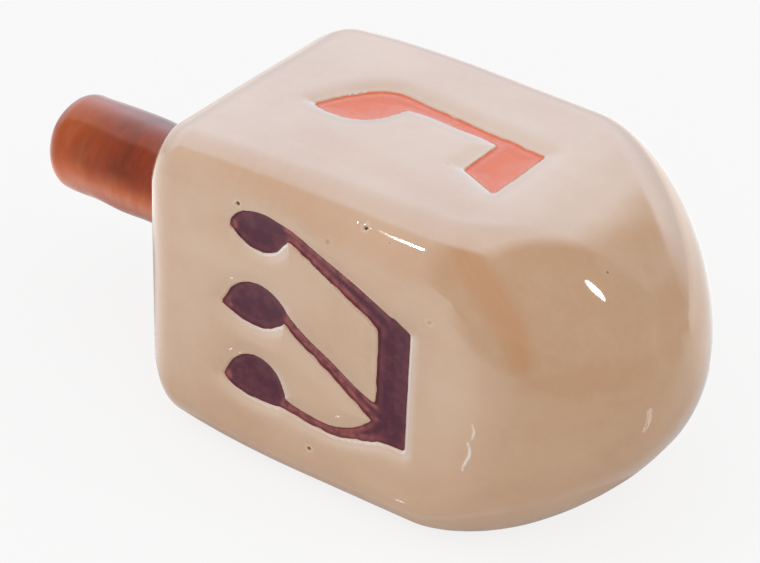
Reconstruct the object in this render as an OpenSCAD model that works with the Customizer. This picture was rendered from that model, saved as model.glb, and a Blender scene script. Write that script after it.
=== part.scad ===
// Large glazed earthenware dreidel, lying on one of its four faces.
// A hollow cast body, square in section with soft edges, ends in a domed nose.
// Each of its four faces has one of the four marks of the game cut into it.
// A solid peg handle is cemented into the pour hole at the other end.
// The spin axis is the X axis direction, with the nose at +X and the handle at -X.
// The origin is on the surface that the body lies on, under the middle of the whole length.

/* [Body] */
// Width across two opposite faces at the nose end
body_w = 64; // [52:1:80]
// Length of the long edges, from the handle end to the start of the nose
face_l = 64; // [54:1:80]
// Length of the domed nose beyond the long edges
nose_l = 38; // [30:1:46]
// Length by which the middle of each face runs on flat into the nose
arch_l = 11; // [4:1:15]
// Distance that each face draws in at the handle end
draw_in = 2.4; // [1:0.1:4]
// Length over which the faces draw in
draw_l = 38; // [25:1:45]
// Thickness of the cast wall
wall = 5; // [3.5:0.5:6.5]

/* [Edges] */
// Radius of the long edges at the handle end
edge_r = 7.5; // [6.5:0.5:10]
// Radius of the long edges where the nose starts
edge_nose_r = 10.5; // [8:0.5:14]
// Radius between the faces and the flat handle end
end_r = 10.5; // [7.5:0.5:13]
// Radius of the corners in the outline of the flat handle end
end_corner_r = 12; // [8:0.5:13.5]
// Radius left in the corners of the hollow
hollow_r = 2.5; // [1.5:0.5:4]

/* [Marks] */
// Depth of the marks cut into the faces
mark_depth = 1.4; // [0.8:0.1:2]
// Width of the sloping wall round each mark
mark_wall = 1.4; // [0.8:0.1:2]

/* [Handle] */
// Diameter of the handle near its tip
handle_d = 20.6; // [17:0.2:24]
// Diameter of the handle at its shoulder
shoulder_d = 21.2; // [18:0.2:25]
// Length of the handle from its shoulder to its tip
handle_l = 40; // [30:1:50]
// Radius of the rounded edge at the tip
tip_r = 4; // [2:0.5:6]
// Height of the low dome inside the rounded edge of the tip
tip_dome = 1.2; // [0.6:0.1:2]

/* [Joint] */
// Diameter of the tenon on the handle
tenon_d = 14; // [10:0.5:16]
// Length of the tenon beyond the shoulder
tenon_l = 13; // [10:0.5:16]
// Bevel on the leading edge of the tenon
tenon_bevel = 1; // [0.5:0.1:1.5]
// Gap all round between the tenon and the pour hole
tenon_gap = 0.25; // [0.1:0.05:0.4]
// Thickness of the cement bed under the shoulder
bed_t = 0.8; // [0.5:0.1:1.2]
// Width of the cement bead left showing round the shoulder
bead_w = 0.9; // [0.5:0.1:1.2]

/* [Hidden] */

// Counts of steps: across a corner arc, along the end radius, the faces and the nose
arc_n = 10;
hollow_arc_n = 5;
end_n = 7;
face_n = 10;
nose_n = 16;
hollow_share = 0.5;
// Fineness of the turned surfaces
turn_fn = 96;
// Power by which the corners open out to a circle along the nose
open_power = 1.5;
// Power that sets how firm the ridge is where a face turns into the nose
ridge_power = 1.35;
// Reach of a square's corner over that of its side
corner_reach = sqrt(2);
// Overrun of a cut past the surface that it cuts
overrun = 1;

half_w = body_w / 2;
body_l = face_l + nose_l;
pour_d = tenon_d + 2 * tenon_gap;
handle_reach = handle_l + bed_t;
// Shift that brings the middle of the whole length over the origin
middle_x = (body_l - handle_reach) / 2;

// Strokes of the four marks. Each knot has a length as a share of the long edges, then a distance
// across to a reader's right and a half width, both as shares of half the body's width.
nun_shares = [
    [[0.35, -0.12, 0.005], [0.39, -0.095, 0.06], [0.435, -0.045, 0.115], [0.475, 0.015, 0.15],
     [0.51, 0.105, 0.135], [0.55, 0.17, 0.085], [0.61, 0.185, 0.05], [0.94, 0.145, 0.04]],
    [[0.96, 0.17, 0.13], [0.96, -0.27, 0.13]]];
shin_shares = [
    [[0.385, 0.62, 0.005], [0.42, 0.645, 0.06], [0.46, 0.655, 0.11], [0.505, 0.665, 0.12],
     [0.55, 0.695, 0.075], [0.6, 0.705, 0.04], [0.92, 0.405, 0.065]],
    [[0.355, 0.095, 0.005], [0.4, 0.12, 0.06], [0.445, 0.155, 0.12], [0.49, 0.175, 0.135],
     [0.54, 0.18, 0.09], [0.585, 0.165, 0.04], [0.83, -0.13, 0.045], [0.93, -0.23, 0.065]],
    [[0.36, -0.4, 0.005], [0.4, -0.375, 0.065], [0.45, -0.335, 0.125], [0.495, -0.32, 0.14],
     [0.54, -0.36, 0.095], [0.58, -0.405, 0.04], [0.75, -0.445, 0.03], [0.84, -0.39, 0.04],
     [0.93, -0.28, 0.075]],
    [[0.945, 0.43, 0.1], [0.945, -0.36, 0.1]]];
hei_shares = [
    [[0.38, -0.51, 0.005], [0.42, -0.475, 0.055], [0.46, -0.405, 0.105], [0.485, -0.3, 0.125],
     [0.495, -0.155, 0.09], [0.49, 0.01, 0.07], [0.485, 0.22, 0.07], [0.505, 0.385, 0.085],
     [0.58, 0.455, 0.065], [0.7, 0.455, 0.05], [0.98, 0.395, 0.07]],
    [[0.645, -0.37, 0.005], [0.7, -0.38, 0.045], [0.78, -0.395, 0.07], [0.985, -0.365, 0.08]]];
gimel_shares = [
    [[0.355, -0.17, 0.005], [0.39, -0.145, 0.055], [0.435, -0.095, 0.115], [0.48, -0.03, 0.145],
     [0.52, 0.075, 0.13], [0.565, 0.155, 0.08], [0.64, 0.205, 0.055], [0.99, 0.295, 0.07]],
    [[0.815, 0.205, 0.03], [0.925, -0.075, 0.055], [0.985, -0.2, 0.075]],
    [[0.975, -0.14, 0.09], [0.975, -0.36, 0.09]]];

glaze_tan = [0.87, 0.75, 0.63];
glaze_amber = [0.55, 0.22, 0.09];
slip_pale = [0.82, 0.72, 0.62];

// Half the width of the outer section at a distance x from the handle end
function half_at(x) = half_w - draw_in * pow(max(0, 1 - x / draw_l), 2);

// Radius of the long edges at a distance x from the handle end
function edge_at(x) = edge_r + (edge_nose_r - edge_r) * min(1, x / face_l);

// Radius of an edge once the surface is moved in by the inset
function inner_r(r, inset) = inset > 0 ? max(r - inset, hollow_r) : r;

// Closed outline of a square with rounded corners, of half width h and corner radius r, at x
function ring(x, h, r, n) =
    let (q = min(r, h), c = h - q)
    [for (k = [0:3], i = [0:n])
        let (a = 90 * (k + i / n))
        [x,
         (k == 0 || k == 3 ? c : -c) + q * cos(a),
         (k < 2 ? c : -c) + q * sin(a)]];

// Rings of the end radius, from the flat end outwards
function end_rings(inset, steps, n) =
    let (r = max(end_r - inset, hollow_r))
    [for (i = [0:steps - 1])
        let (a = 90 * i / steps,
             x = inset + r * (1 - cos(a)),
             share = 1 - sin(a))
        ring(x,
             half_at(x) - inset - r * share,
             inner_r(edge_at(x) + (end_corner_r - edge_at(x)) * share, inset),
             n)];

// Rings along the faces, closer together where the faces curve
function face_rings(inset, steps, n) =
    let (start = inset + max(end_r - inset, hollow_r))
    [for (i = [0:steps])
        let (x = start + (face_l - start) * pow(i / steps, 1.5))
        ring(x, half_at(x) - inset, inner_r(edge_at(x), inset), n)];

// Rings of the nose. Its corners follow a square that opens out to a circle at the tip, and the
// middle of each face stays flat further on, so that the face ends in an arched ridge.
function nose_rings(inset, steps, n) =
    let (h = half_w - inset, l = nose_l - inset, first_share = inner_r(edge_nose_r, inset) / h)
    [for (i = [1:steps - 1])
        let (a = 90 * i / steps,
             share = first_share + (1 - first_share) * pow(sin(a), open_power),
             corner = h * cos(a) * (corner_reach - (corner_reach - 1) * share),
             past = max(0, l * sin(a) - arch_l) / (l - arch_l),
             side = min(corner, h * sqrt(1 - pow(past, ridge_power))))
        ring(face_l + l * sin(a), side, (corner_reach * side - corner) / (corner_reach - 1), n)];

// Triangles between rings that follow each other
function side_faces(count, last) =
    [for (i = [0:last - 1], j = [0:count - 1], half = [0, 1])
        let (a = i * count + j, b = i * count + (j + 1) % count)
        half == 0 ? [a, a + count, b] : [b, a + count, b + count]];

// Solid that joins the rings, with a flat first end and a single point at the tip
module skin(rings, tip_x) {
    count = len(rings[0]);
    last = len(rings) - 1;
    tip = count * len(rings);
    polyhedron(
        points = concat([for (r = rings, p = r) p], [[tip_x, 0, 0]]),
        faces = concat(
            [[for (j = [0:count - 1]) j]],
            side_faces(count, last),
            [for (j = [0:count - 1]) [last * count + j, tip, last * count + (j + 1) % count]]),
        convexity = 4);
}

// Four points across a stroke at knot j: two on the floor of the mark and two over the face.
// The walls lean outwards, at the two ends of the stroke too.
function stroke_ring(knots, j) =
    let (last = len(knots) - 1,
         here = knots[j],
         step = knots[min(j + 1, last)] - knots[max(j - 1, 0)],
         along = [step[0], step[1]] / norm([step[0], step[1]]),
         across = [-along[1], along[0]],
         end = j == 0 ? -1 : j == last ? 1 : 0,
         lean = mark_wall * (1 + overrun / mark_depth),
         face = half_at(here[0]))
    [for (p = [[-1, 0, -mark_depth], [1, 0, -mark_depth], [1, lean, overrun], [-1, lean, overrun]])
        let (at = [here[0], here[1]] + across * p[0] * (here[2] + p[1]) + along * end * p[1])
        [at[0], at[1], face + p[2]]];

// Cutter for one stroke on the upper face
module stroke(shares) {
    knots = [for (s = shares) [s[0] * face_l, s[1] * half_w, s[2] * half_w]];
    rings = [for (j = [0:len(knots) - 1]) stroke_ring(knots, j)];
    count = len(rings[0]);
    last = len(rings) - 1;
    polyhedron(
        points = [for (r = rings, p = r) p],
        faces = concat(
            [[for (j = [0:count - 1]) j]],
            side_faces(count, last),
            [[for (j = [count - 1:-1:0]) last * count + j]]),
        convexity = 4);
}

// Cutters for the four marks, from the upper face round by the front
module marks() {
    mark_shares = [nun_shares, shin_shares, hei_shares, gimel_shares];
    for (i = [0:3], shares = mark_shares[i])
        rotate([90 * i, 0, 0]) stroke(shares);
}

// The outer form for an inset of zero, and the hollow for an inset of one wall
module block(inset, end_steps, face_steps, nose_steps, n) {
    skin(concat(end_rings(inset, end_steps, n),
                face_rings(inset, face_steps, n),
                nose_rings(inset, nose_steps, n)),
         body_l - inset);
}

// Puts a turned profile, drawn as radius and length along the spin axis, in its place
module turned() {
    rotate([0, 90, 0]) rotate_extrude($fn = turn_fn) children();
}

// Moves the whole from the handle end of the body to the origin of the part
module placed() {
    translate([-middle_x, 0, half_w]) children();
}

// Hollow cast body with its pour hole and its four marks
module body() {
    color(glaze_tan) placed() difference() {
        block(0, end_n, face_n, nose_n, arc_n);
        block(wall, ceil(end_n * hollow_share), ceil(face_n * hollow_share),
              ceil(nose_n * hollow_share), hollow_arc_n);
        translate([-overrun, 0, 0])
            rotate([0, 90, 0])
                cylinder(d = pour_d, h = wall + 2 * overrun, $fn = turn_fn);
        marks();
    }
}

// Ring of cement between the flat end and the shoulder, with the bead that is left outside
module joint_bed() {
    outer = shoulder_d / 2;
    color(slip_pale) placed() turned() polygon(concat(
        [[pour_d / 2, -bed_t], [outer, -bed_t]],
        [for (a = [15:15:90]) [outer + bead_w * sin(a), -bed_t * cos(a)]],
        [[pour_d / 2, 0]]));
}

// Solid peg with a soft tip, a slight taper, a shoulder and a bevelled tenon
module handle() {
    tip_x = -handle_reach;
    edge_x = tip_x + tip_dome + tip_r;
    edge_c = handle_d / 2 - tip_r;
    tenon = tenon_d / 2;
    color(glaze_amber) placed() turned() polygon(concat(
        [for (i = [0:4]) [edge_c * i / 5, tip_x + tip_dome * pow(i / 5, 2)]],
        [for (a = [0:10:90]) [edge_c + tip_r * sin(a), edge_x - tip_r * cos(a)]],
        [[shoulder_d / 2, -bed_t],
         [tenon, -bed_t],
         [tenon, tenon_l - bed_t - tenon_bevel],
         [tenon - tenon_bevel, tenon_l - bed_t],
         [0, tenon_l - bed_t]]));
}

body();
joint_bed();
handle();
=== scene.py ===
# Large glazed earthenware dreidel, lying on one of its four faces under soft studio light.
# Object lengths are millimetres, turned into metres where a mesh is made.
import math

import bpy
import numpy as np
from mathutils import Matrix, Quaternion, Vector


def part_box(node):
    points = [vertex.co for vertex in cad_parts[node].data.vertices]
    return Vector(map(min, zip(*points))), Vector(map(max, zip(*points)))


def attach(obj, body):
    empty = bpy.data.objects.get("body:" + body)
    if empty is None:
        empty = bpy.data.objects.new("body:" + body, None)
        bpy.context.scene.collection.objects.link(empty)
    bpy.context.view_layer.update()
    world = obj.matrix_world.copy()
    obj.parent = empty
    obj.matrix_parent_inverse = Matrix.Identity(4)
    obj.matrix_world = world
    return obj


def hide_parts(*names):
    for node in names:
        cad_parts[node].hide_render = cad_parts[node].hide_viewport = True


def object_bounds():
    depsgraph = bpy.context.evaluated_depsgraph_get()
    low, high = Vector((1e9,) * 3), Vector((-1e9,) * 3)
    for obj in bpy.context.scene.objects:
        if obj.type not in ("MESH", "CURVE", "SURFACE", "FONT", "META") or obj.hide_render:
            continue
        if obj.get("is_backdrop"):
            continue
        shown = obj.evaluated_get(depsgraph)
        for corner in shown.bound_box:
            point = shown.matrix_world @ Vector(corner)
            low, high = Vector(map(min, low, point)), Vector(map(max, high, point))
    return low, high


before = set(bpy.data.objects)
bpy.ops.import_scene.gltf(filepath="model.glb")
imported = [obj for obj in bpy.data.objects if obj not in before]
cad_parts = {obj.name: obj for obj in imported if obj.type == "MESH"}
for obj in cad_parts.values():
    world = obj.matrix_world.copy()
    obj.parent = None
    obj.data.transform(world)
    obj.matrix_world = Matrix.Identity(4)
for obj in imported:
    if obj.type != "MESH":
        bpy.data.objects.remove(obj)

cad_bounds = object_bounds()
MM = 0.001

# The body's form, in the sizes of the CAD source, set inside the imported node's own box
body_low, body_high = (np.array(corner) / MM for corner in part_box("body"))
handle_low = np.array(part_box("handle")[0]) / MM
END_X = body_low[0]
BODY_L = body_high[0] - END_X
HALF_W = (body_high[1] - body_low[1]) / 2
AXIS_Z = body_high[2] - HALF_W
FACE_L = 64
NOSE_L = BODY_L - FACE_L
ARCH_L = 11
DRAW_IN = 2.4
DRAW_L = 38
WALL = 5
EDGE_R = 7.5
EDGE_NOSE_R = 10.5
END_R = 10.5
END_CORNER_R = 12
OPEN_POWER = 1.5
RIDGE_POWER = 1.35
RIDGE_SOFT = 4.5
CORNER_REACH = math.sqrt(2)
POUR_R = 7.25
INNER_EDGE_R = 2.5

# The body's mesh: its usual step, the fine step near small marks and how far that reaches, the end of the
# ridges, and counts for the nose, the handle end and the hollow
STEP = 0.38
FINE_STEP = 0.13
FINE_REACH = 1.7
RIDGE_END = FACE_L + 14.5
NOSE_STEPS = 90
NOSE_TOP_ANGLE = 89
END_STEPS = 34
INNER_STEPS = 10
INNER_TOP_ANGLE = 86

# Sides in the order that the angle grows round the spin axis: outward and growing directions in Y and Z
SIDES = {
    "back": np.array([(1, 0), (0, 1)]),
    "top": np.array([(0, 1), (-1, 0)]),
    "front": np.array([(-1, 0), (0, -1)]),
    "bottom": np.array([(0, -1), (1, 0)])}
SIDE_NAMES = list(SIDES)


def smooth(t):
    t = np.clip(t, 0, 1)
    return t * t * (3 - 2 * t)


def value_noise(points, size, seed):
    """Smooth noise from 0 to 1 at the points, with lumps about as wide as the size."""
    cells = 32
    lattice = np.random.RandomState(seed).rand(cells, cells, cells)
    q = points / size
    low = np.floor(q).astype(int)
    t = smooth(q - low)
    total = 0
    for corner in np.ndindex(2, 2, 2):
        weight = np.prod([t[..., a] if corner[a] else 1 - t[..., a] for a in range(3)], axis=0)
        i, j, k = ((low[..., a] + corner[a]) % cells for a in range(3))
        total = total + weight * lattice[i, j, k]
    return total


# The outer form
def face_half(x):
    return HALF_W - DRAW_IN * np.maximum(0, 1 - x / DRAW_L) ** 2


def edge_radius(x):
    return EDGE_R + (EDGE_NOSE_R - EDGE_R) * np.minimum(1, x / FACE_L)


def nose_section(x, half, first_radius, length):
    """Half width and corner radius of the nose. Its corners open out to a circle, and its faces stay flat
    further on and end in a soft arched ridge."""
    sine = np.clip((x - FACE_L) / length, 0, 1)
    first_share = first_radius / half
    share = first_share + (1 - first_share) * sine ** OPEN_POWER
    corner = half * np.sqrt(1 - sine ** 2) * (CORNER_REACH - (CORNER_REACH - 1) * share)
    run = sine * length - ARCH_L
    eased = run + np.hypot(run, RIDGE_SOFT)
    first = math.hypot(ARCH_L, RIDGE_SOFT) - ARCH_L
    last = length - ARCH_L + math.hypot(length - ARCH_L, RIDGE_SOFT)
    past = np.clip((eased - first) / (last - first), 0, 1)
    side = np.minimum(corner, half * np.sqrt(1 - past ** RIDGE_POWER))
    return side, (CORNER_REACH * side - corner) / (CORNER_REACH - 1)


def section(x, wall=0):
    """Half width and corner radius at a distance x from the handle end, of the outer form, or of the hollow
    behind a wall."""
    x = np.asarray(x, float)
    end_r = END_R - wall
    end_share = 1 - np.sin(np.arccos(np.clip(1 - (x - wall) / end_r, 0, 1)))
    nose_half, nose_edge = nose_section(x, HALF_W - wall, EDGE_NOSE_R - wall, NOSE_L - wall)
    half = np.where(x > FACE_L, nose_half, face_half(x) - wall - end_r * end_share)
    if wall:
        edge = np.maximum(edge_radius(x) - wall, INNER_EDGE_R)
    else:
        edge = edge_radius(x) + (END_CORNER_R - edge_radius(x)) * end_share
    return half, np.where(x > FACE_L, nose_edge, edge)


def side_point(x, across, out, side):
    """Part frame point for a length x, a distance across to a reader's right and a height over the axis."""
    (ny, nz), (ty, tz) = SIDES[side]
    y = ny * out - ty * across
    z = nz * out - tz * across
    return np.stack([x + END_X, y, z + AXIS_Z], -1)


def side_coordinates(points, side):
    """Length, distance across to a reader's right and height over the axis of part frame points."""
    (ny, nz), (ty, tz) = SIDES[side]
    y = points[..., 1]
    z = points[..., 2] - AXIS_Z
    return points[..., 0] - END_X, -(ty * y + tz * z), ny * y + nz * z


def side_height(x, across):
    """Height of a side over the axis, round its long edges too."""
    half, edge = section(x)
    steepest = 0.98
    over = np.clip(np.abs(across) - (half - edge), 0, edge * steepest)
    return half - edge + np.sqrt(edge ** 2 - over ** 2)


def side_surface(x, across, side):
    """Points and outward directions on a side."""
    reach = 0.2
    out = side_height(x, across)
    slope_x = (side_height(x + reach, across) - side_height(x - reach, across)) / (2 * reach)
    slope_w = (side_height(x, across + reach) - side_height(x, across - reach)) / (2 * reach)
    size = np.sqrt(1 + slope_x ** 2 + slope_w ** 2)
    origin = side_point(0, 0, 0, side)
    direction = side_point(-slope_x / size, -slope_w / size, 1 / size, side) - origin
    return side_point(x, across, out, side), direction


# The four traditional game marks. A stroke has knots of length along the body, distance across and half
# width, and a plate has corners and a corner radius.
NUN = [
    ("stroke", [
        (22.4, -3.9, 0.1), (24.8, -3, 1.8), (27.6, -1.5, 3.6), (30.4, 0.4, 4.9), (32.6, 3.4, 4.4),
        (35.2, 5.4, 2.7), (39, 5.9, 1.7), (46, 5.6, 1.4), (54, 5.1, 1.2), (60, 4.6, 1.3)]),
    ("plate", [(57.2, 5.9), (57.2, -7.2), (65.7, -10.8), (65.9, 5.4)], 0.4),
]
SHIN = [
    ("stroke", [
        (24.7, 19.9, 0.1), (26.8, 20.6, 1.9), (29.4, 20.9, 3.5), (32.2, 21.2, 3.9), (35, 22.2, 2.5),
        (38.2, 22.7, 1.3), (44, 20.1, 1.5), (52, 16.5, 1.9), (59, 13, 2.1)]),
    ("stroke", [
        (22.7, 3, 0.1), (25.4, 3.8, 1.9), (28.4, 5, 3.8), (31.4, 5.6, 4.4), (34.4, 5.7, 3),
        (37.2, 5.3, 1.2), (41, 2.6, 1.1), (47, -0.6, 1.2), (53, -4.2, 1.4), (58.6, -7, 2)]),
    ("stroke", [
        (23.2, -12.8, 0.1), (25.8, -11.9, 2.1), (28.8, -10.7, 4), (31.6, -10.2, 4.6), (34.4, -11.6, 3),
        (37, -13, 1.2), (42, -14, 0.9), (48, -14.2, 0.9), (53.6, -12.4, 1.3), (59, -9.2, 2.4)]),
    ("plate", [(57.3, 12), (57.3, -6), (58.8, -11.6), (63.8, -11.6), (63.9, 13.2), (60.4, 15)], 0.6),
]
GIMEL = [
    ("stroke", [
        (22.6, -5.4, 0.1), (25, -4.6, 1.8), (27.8, -3, 3.6), (30.8, -1, 4.7), (33.2, 2.4, 4.1),
        (36, 5, 2.6), (41, 6.6, 1.7), (48, 7.4, 1.5), (56, 8, 1.6), (63.4, 9.4, 2.2)]),
    ("stroke", [(52, 6.6, 0.9), (55.6, 2.6, 1.3), (59.2, -2.4, 1.8), (62.6, -7.4, 2.6)]),
    ("plate", [(59.4, -4.4), (59.8, -11.2), (65.4, -12), (65.6, -4.8)], 0.5),
]
HEI = [
    ("stroke", [
        (24.4, -16.4, 0.1), (26.8, -15.2, 1.8), (29.4, -13, 3.4), (31.2, -9.6, 4), (31.8, -5, 2.8),
        (31.4, 0.4, 2.2), (31, 7, 2.3), (32.6, 12.4, 2.7), (37, 14.6, 2.1), (45, 14.6, 1.6),
        (54, 13.8, 1.6), (62.6, 12.6, 2.3)]),
    ("stroke", [
        (41.2, -11.8, 0.2), (44.6, -12.2, 1.5), (50, -12.6, 2.2), (57, -12.4, 1.9), (63, -11.6, 2.5)]),
]
MARKS = {"top": NUN, "front": SHIN, "back": GIMEL, "bottom": HEI}
MARK_START = 17
MARK_END = 71
MARK_SPREAD = 31
STROKE_SPOTS = 12

# The view of the photograph meets the sunken floor of a mark beyond its rim, so the marks measured on the
# faces move by this length and distance across
MARK_SHIFT = {"top": (-0.65, 0.95), "front": (-0.5, -0.6), "back": (0, 0), "bottom": (0, 0)}
MARK_BLEND = 0.35

# Carving: its depth, the width and power of the soft slope down to the rim, the thin raised lip at the rim,
# the step down inside it, the hollowing further in, and the pocket that takes the glaze
CARVE_DEPTH = 0.9
CARVE_REACH = 5
CARVE_POWER = 2.3
LIP_H = 0.14
LIP_W = 0.3
LEDGE_DEPTH = 0.35
LEDGE_W = 0.4
BOWL_DEPTH = 0.25
BOWL_REACH = 4
POCKET_DEPTH = 0.75
POCKET_W = 0.45
# Points of the mesh this close to a rim move onto it
SNAP = 0.2
# A painted highlight lies on a rim that faces this way, along the length and across: a sharp line, and a
# broad one that is fainter
LIP_HIGHLIGHT_FROM = {"top": (-0.2, -0.98), "front": (0.9, -0.45), "back": (-0.3, -0.95), "bottom": (0.5, 0.85)}
LIP_HIGHLIGHT_AT = 0.28
LIP_HIGHLIGHT_W = 0.28
LIP_BROAD_HIGHLIGHT_AT = 1.1
LIP_BROAD_HIGHLIGHT_W = 0.9
LIP_BROAD_HIGHLIGHT = 0.3

# Glaze laid in the carving: step of its mesh, thickness, reach of its round edge, how far it goes down into
# the pocket, and how far its edge wavers
FILL_STEP = 0.19
FILL_T = 0.12
FILL_ROUND = 0.3
FILL_UNDER = 0.5
FILL_WAVER = 0.12
FILL_WAVER_SIZE = 1.6
FILL_WAVER_SEED = 11
# Half width that a plate counts as, the blend between neighbours, and half widths of a thin stem and of a
# full stroke
PLATE_HALF = 3.2
WIDTH_BLEND = 0.35
STEM_HALF = 1.7
FULL_HALF = 2.5


def along(knots, per_span):
    """Points of a smooth curve through the knots."""
    k = np.array([knots[0], *knots, knots[-1]], float)
    points = []
    for a, b, c, d in zip(k[:-3], k[1:-2], k[2:-1], k[3:]):
        for t in np.linspace(0, 1, per_span, endpoint=False):
            square = 2 * a - 5 * b + 4 * c - d
            cube = 3 * b - a - 3 * c + d
            points.append((2 * b + (c - a) * t + square * t ** 2 + cube * t ** 3) / 2)
    points.append(k[-2])
    return np.array(points)


def plate_distance(x, across, corners, soft):
    """Signed distance to a convex plate with rounded corners, negative inside it."""
    corners = np.array(corners, float)
    edges = np.roll(corners, -1, 0) - corners
    normals = np.column_stack([-edges[:, 1], edges[:, 0]]) / np.hypot(*edges.T)[:, None]
    normals *= np.sign(((corners - corners.mean(0)) * normals).sum(1))[:, None]
    levels = (corners * normals).sum(1) - soft
    inset = []
    for i in range(len(corners)):
        inset.append(np.linalg.solve([normals[i - 1], normals[i]], [levels[i - 1], levels[i]]))
    inside = np.full(x.shape, -np.inf)
    outside = np.full(x.shape, np.inf)
    for a, b, normal, level in zip(inset, inset[1:] + inset[:1], normals, levels):
        edge = b - a
        inside = np.maximum(inside, x * normal[0] + across * normal[1] - level)
        t = np.clip(((x - a[0]) * edge[0] + (across - a[1]) * edge[1]) / (edge @ edge), 0, 1)
        outside = np.minimum(outside, np.hypot(x - a[0] - edge[0] * t, across - a[1] - edge[1] * t))
    return np.where(inside > 0, outside, inside) - soft


def mark_shapes(x, across, side):
    """For each stroke and plate of a side's mark, signed distances to its spots, with their half widths."""
    shift_x, shift_across = MARK_SHIFT[side]
    x, across = x - shift_x, across - shift_across
    for kind, shape, *soft in MARKS[side]:
        if kind == "stroke":
            spots = along(shape, STROKE_SPOTS)
            yield [(np.hypot(x - px, across - pw) - half, half) for px, pw, half in spots]
        else:
            yield [(plate_distance(x, across, shape, soft[0]), PLATE_HALF)]


def mark_distance(x, across, side):
    """Signed distance to a side's mark, negative inside it. Its parts blend where they meet."""
    far = 20
    shapes = mark_shapes(x, across, side)
    parts = [np.minimum.reduce([distance for distance, _ in shape]) for shape in shapes]
    nearest = np.minimum.reduce(parts)
    total = sum(np.exp(-np.minimum(part - nearest, far) / MARK_BLEND) for part in parts)
    return nearest - MARK_BLEND * np.log(total)


def mark_half_width(x, across, side):
    """About half the width of the stroke or plate of the mark that lies at each place."""
    total = weight = 0
    for shape in mark_shapes(x, across, side):
        for distance, half in shape:
            share = np.exp(-distance / WIDTH_BLEND)
            total = total + share * half
            weight = weight + share
    return total / weight


def carve_depth(distance):
    """Depth of the ground round a mark, which sinks to its rim and ends there in a thin raised lip."""
    slope = np.clip(1 - np.maximum(distance, 0) / CARVE_REACH, 0, 1) ** CARVE_POWER
    lip = LIP_H * np.exp(-((distance - LIP_W) / LIP_W) ** 2)
    return CARVE_DEPTH * slope + BOWL_DEPTH * smooth(-distance / BOWL_REACH) - lip


def rim_shift(x, across, side):
    """Shift that brings a point near a mark's rim onto it, so that the mesh has an edge along the rim."""
    reach = 0.05
    least = 0.25
    distance = mark_distance(x, across, side)
    slope_x = (mark_distance(x + reach, across, side) - distance) / reach
    slope_w = (mark_distance(x, across + reach, side) - distance) / reach
    steepness = np.maximum(slope_x ** 2 + slope_w ** 2, least)
    share = np.where(np.abs(distance) < SNAP, -distance, 0) / steepness
    return share * slope_x, share * slope_w


# Pits and rings left in the glaze: side, length, distance across, depth, radius, ring height and darkness
PITS = [
    ("front", 26.2, 24.7, 0.55, 0.3, 0.07, 1),
    ("front", 43.1, -20.5, 0.55, 0.27, 0.08, 1),
    ("front", 52.2, 28.9, 0.5, 0.24, 0.1, 1),
    ("front", 67.7, 17.3, 0.1, 0.3, 0.06, 0.08),
    ("front", 46, 24.8, 0, 0.4, 0.01, 0.3),
    ("top", 53.8, -7.3, 0.05, 0.3, 0.02, 0.03),
    ("back", 38.5, 17, 0.5, 0.28, 0.08, 0.9),
    ("bottom", 49, -22, 0.5, 0.28, 0.08, 0.9),
]
# Their rings: radius, width, reach of the dish, reach of the darkening, and height of a fully pale ring
RING_R = 0.72
RING_W = 0.26
DISH_R = 1.3
PIT_DARK_REACH = 1.15
FULL_RING = 0.2


def pit_places():
    """Point, side, length, distance across and shape of each pit."""
    for side, x, across, *shape in PITS:
        point, _ = side_surface(np.array([x]), np.array([across]), side)
        yield point[0], side, x, across, shape


# Peach brush marks left under the clear glaze: strength, softness, then knots of length, y, height over the
# table and half width
BRUSH_MARKS = [
    (0.95, 3.6, [
        (70.1, -26.3, 61.6, 0.4), (73.8, -27.4, 58.9, 1), (78.1, -27.7, 54.9, 1.2),
        (81, -27.7, 51.4, 0.9), (82.5, -27.8, 48.7, 0.6), (83.9, -27.8, 45.1, 0.2)]),
    (0.4, 3, [(60, -30.6, 59.2, 1.6), (67, -29.8, 59.4, 1.8), (74, -27, 59.6, 1.2)]),
    (0.3, 3, [
        (84.6, -27, 41.2, 0.6), (88.9, -23.7, 41.4, 0.8), (93.4, -18.7, 42.2, 1.2),
        (98.6, -9.7, 41.4, 1)]),
    (0.4, 3.6, [(96, -0.2, 49.2, 1.2), (98.5, -4, 42.5, 2)]),
    (0.25, 3.6, [
        (87.7, 5.7, 57, 0.8), (84.9, -6.4, 58.8, 1), (81.4, -14.4, 60.4, 1), (76, -21, 60.8, 1)]),
    (0.5, 3.2, [
        (12, -26, 58.5, 0.6), (30, -28.4, 60.6, 1), (48, -30, 59.6, 1.4), (60, -30.4, 58.6, 1.8)]),
    (0.3, 3.6, [(18, -29.6, 50, 1.2), (38, -31.4, 53.4, 1), (60, -31.8, 51, 1.6)]),
    (0.3, 3, [(8, -27.5, 52, 1), (8.6, -28, 36, 1.4), (8, -27.5, 18, 1)]),
    (0.4, 3.4, [(30, -14, 63.8, 1.2), (50, -16, 64, 1.6), (66, -18, 63.6, 1)]),
    (0.5, 3.4, [(70, 18, 60, 1.2), (80, 20, 55, 1.6), (88, 20, 44, 1.2)]),
    (0.4, 3.4, [(30, 31, 12, 1.2), (50, 31.6, 14, 1.6), (70, 30, 16, 1)]),
]
# Spots from knot to knot, then width, length, depth and seed of the lines that the brush's hairs leave
BRUSH_SPOTS = 6
BRUSH_HAIR = 0.55
BRUSH_HAIR_L = 9
BRUSH_HAIR_DEPTH = 0.35
BRUSH_HAIR_SEED = 5

# A thin wavy run of raised glaze beside the nose, painted pale as a highlight: knots of length, height over
# the table, half width
GLAZE_RUNS = [
    [(76.9, 31.9, 0.1), (77.3, 30.4, 0.18), (77, 28.9, 0.1)],
    [(76.3, 27.9, 0.16), (76.7, 26.6, 0.22), (76.7, 25.2, 0.24), (76.2, 23.8, 0.22), (75.7, 22.4, 0.2),
     (75.7, 21.6, 0.1)],
]
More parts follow.
